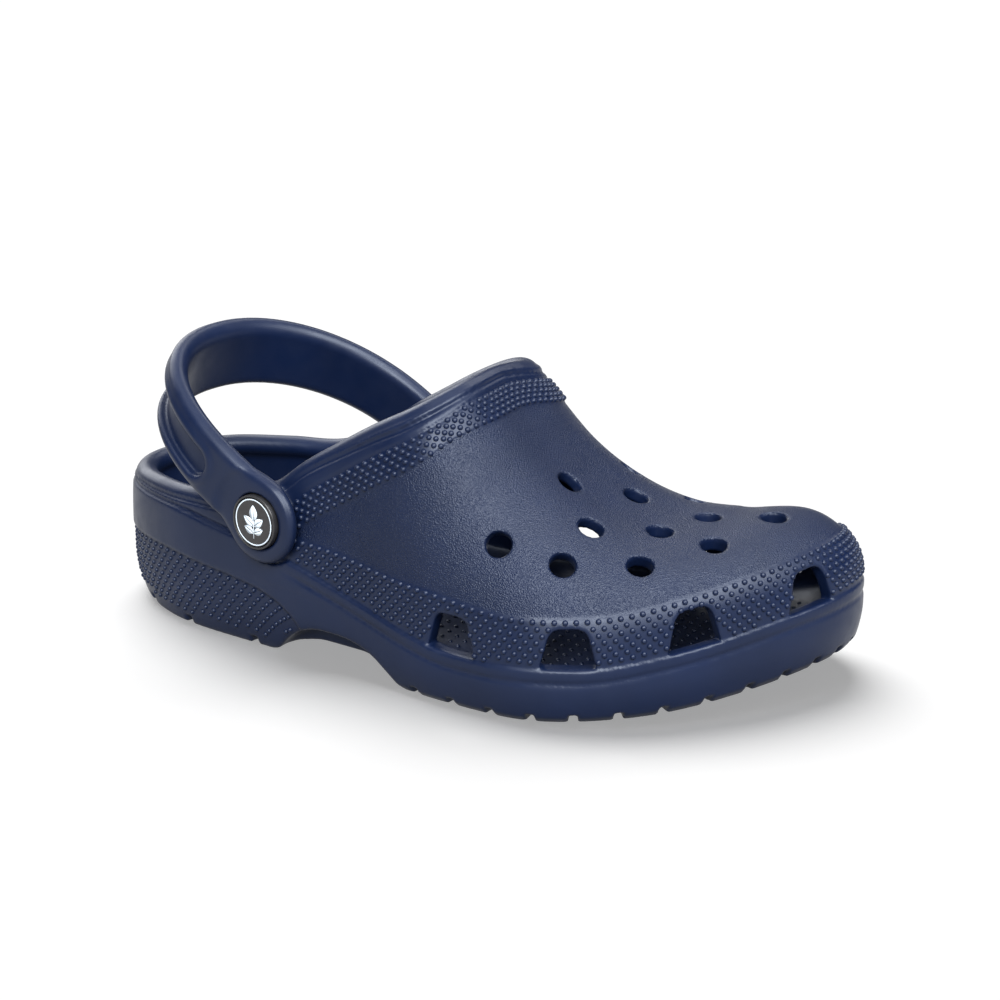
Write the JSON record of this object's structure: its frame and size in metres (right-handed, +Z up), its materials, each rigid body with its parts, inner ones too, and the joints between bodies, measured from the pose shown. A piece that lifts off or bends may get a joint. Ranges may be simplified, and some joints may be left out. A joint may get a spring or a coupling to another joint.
{
  "type": "garden clog",
  "caption": "Slip-on moulded foam garden clog for the right foot, with a vented toe box and a heel strap that swings on snap rivets.",
  "frame": {"origin": "middle of the clog's box in plan, on the ground under the tread", "axes": "+X toward the toe, +Y toward the big toe side, +Z up"},
  "size_m": [0.2844, 0.1269, 0.1058],
  "materials": {
    "body_foam": "matt moulded foam, pebble grain on the vamp, smooth collar and side wall",
    "strap_foam": "matt moulded foam, smooth",
    "rivet_plastic": "satin black moulded plastic",
    "badge_print": "dark disc with a pale printed ring and leaf"
  },
  "bodies": {
    "clog": {"clog_body": "body_foam"},
    "strap": {"heel_strap": "strap_foam"},
    "right_rivet": {"right_rivet_button": "rivet_plastic", "right_rivet_badge": "badge_print", "right_rivet_cap": "rivet_plastic"},
    "left_rivet": {"left_rivet_button": "rivet_plastic", "left_rivet_badge": "badge_print", "left_rivet_cap": "rivet_plastic"}
  },
  "joints": [
    {"name": "strap_swing", "type": "hinge", "parent": "clog", "child": "strap", "pos_m": [-0.0459, 0.00373, 0.0523], "axis": [0.1994, 0.9799, 0], "range_deg": [-15, 75]},
    {"name": "right_rivet_turn", "type": "hinge", "parent": "clog", "child": "right_rivet", "pos_m": [-0.0459, 0.00373, 0.0523], "axis": [0.1994, 0.9799, 0], "continuous": true},
    {"name": "left_rivet_turn", "type": "hinge", "parent": "clog", "child": "left_rivet", "pos_m": [-0.0459, 0.00373, 0.0523], "axis": [0.1994, 0.9799, 0], "continuous": true}
  ]
}
